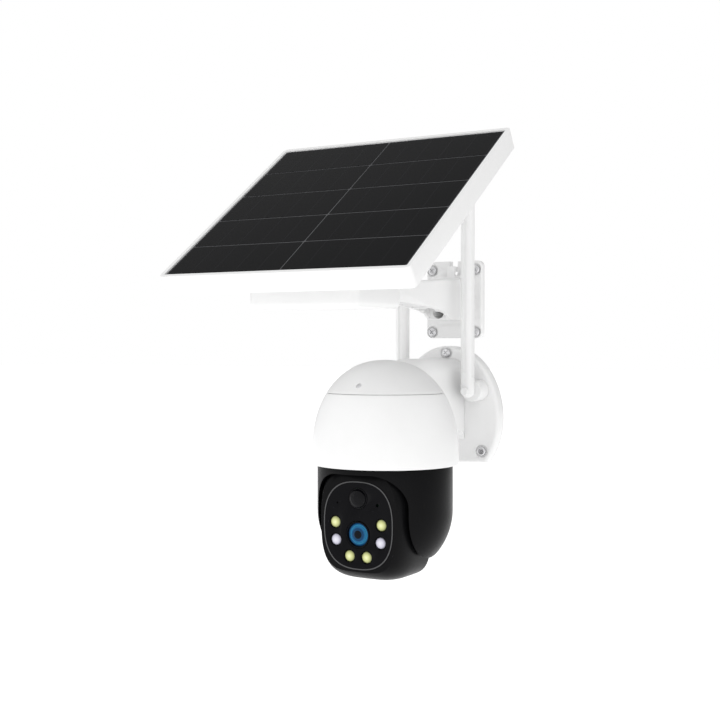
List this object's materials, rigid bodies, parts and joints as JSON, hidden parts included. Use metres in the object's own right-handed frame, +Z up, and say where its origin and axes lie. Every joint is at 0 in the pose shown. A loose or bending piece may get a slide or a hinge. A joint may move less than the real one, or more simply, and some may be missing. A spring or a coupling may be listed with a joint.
{
  "type": "solar-powered security camera",
  "caption": "Wall-held pan and tilt dome camera with paddle antennas, and a separate battery box on an arm with a tilting solar panel above it.",
  "frame": {"origin": "the middle of the camera flange's back face, on the wall", "axes": "+Z up the wall, -Y straight out from the wall, +X to the right seen from the front"},
  "size_m": [0.208, 0.29, 0.3545],
  "materials": {
    "white_plastic": "smooth satin moulding",
    "black_plastic": "fine satin moulding",
    "gloss_black": "polished",
    "steel": "zinc plated",
    "rubber": "matt",
    "nylon": "natural, matt",
    "circuit_board": "solder mask",
    "battery_wrap": "shrink sleeve over a steel can",
    "lamp_yellow": "clear resin over a warm phosphor",
    "lamp_white": "clear resin over a cool phosphor",
    "lens_glass": "blue coated",
    "sensor_dome": "dark translucent",
    "solar_glass": "smooth glass over dark cells"
  },
  "bodies": {
    "root": {"camera_wall_flange": "white_plastic", "camera_arm": "white_plastic", "antenna_hub_left": "white_plastic", "antenna_hub_right": "white_plastic", "upper_housing": "white_plastic", "top_cap": "white_plastic", "solar_wall_plate": "white_plastic", "solar_arm": "white_plastic", "battery_tray": "white_plastic", "battery_lid": "white_plastic", "flange_screw_top": "steel", "flange_screw_left": "steel", "flange_screw_right": "steel", "plate_screw_1": "steel", "plate_screw_2": "steel", "plate_screw_3": "steel", "plate_screw_4": "steel", "arm_lock_screw": "steel", "hinge_bolt": "steel", "hinge_nut": "steel", "pan_motor": "steel", "arm_grommet": "rubber", "cap_seal": "rubber", "power_gland": "rubber", "pan_chassis": "nylon", "pan_bearing": "nylon", "main_board": "circuit_board", "charge_board": "circuit_board", "battery_cell_1": "battery_wrap", "battery_cell_2": "battery_wrap", "battery_cell_3": "battery_wrap"},
    "pan": {"pan_turntable": "black_plastic", "pan_gear": "nylon", "pan_housing": "black_plastic", "tilt_shaft": "steel"},
    "pan_pinion": {"pan_pinion": "nylon"},
    "head": {"head_shell": "black_plastic", "faceplate": "gloss_black", "light_board": "circuit_board", "lamp_1": "lamp_yellow", "lamp_2": "lamp_yellow", "lamp_3": "lamp_white", "lamp_4": "lamp_white", "lamp_5": "lamp_yellow", "lamp_6": "lamp_yellow", "lens_barrel": "black_plastic", "lens_glass": "lens_glass", "pir_dome": "sensor_dome", "image_module": "circuit_board", "tilt_motor": "steel", "card_cover": "rubber"},
    "reset_button": {"reset_button": "rubber"},
    "antenna_left": {"antenna_left": "white_plastic"},
    "antenna_right": {"antenna_right": "white_plastic"},
    "panel": {"panel_frame": "white_plastic", "panel_laminate": "solar_glass", "panel_back_sheet": "white_plastic", "junction_box": "black_plastic", "panel_bracket": "white_plastic"}
  },
  "joints": [
    {"name": "pan", "type": "hinge", "parent": "root", "child": "pan", "pos_m": [0, -0.125, -0.04], "axis": [0, 0, 1], "range_deg": [-177, 177]},
    {"name": "pan_pinion_spin", "type": "hinge", "parent": "root", "child": "pan_pinion", "pos_m": [0.03, -0.125, -0.0307], "axis": [0, 0, 1], "range_deg": [-710, 710]},
    {"name": "tilt", "type": "hinge", "parent": "pan", "child": "head", "pos_m": [0, -0.125, -0.079], "axis": [1, 0, 0], "range_deg": [0, 85]},
    {"name": "reset_press", "type": "slide", "parent": "head", "child": "reset_button", "axis": [0, -0.1736, 0.9848], "range_m": [0, 0.001], "stiffness_N_per_m": 400},
    {"name": "antenna_left_swing", "type": "hinge", "parent": "root", "child": "antenna_left", "pos_m": [-0.0318, -0.035, 0.014], "axis": [0, -1, 0], "range_deg": [0, 90]},
    {"name": "antenna_right_swing", "type": "hinge", "parent": "root", "child": "antenna_right", "pos_m": [0.0318, -0.035, 0.014], "axis": [0, 1, 0], "range_deg": [0, 90]},
    {"name": "panel_tilt", "type": "hinge", "parent": "root", "child": "panel", "pos_m": [0.005, -0.19, 0.12], "axis": [1, 0, 0], "range_deg": [-35, 30]}
  ],
  "couplings": [
    {"joint": "pan_pinion_spin", "follows": "pan", "ratio": -4}
  ]
}
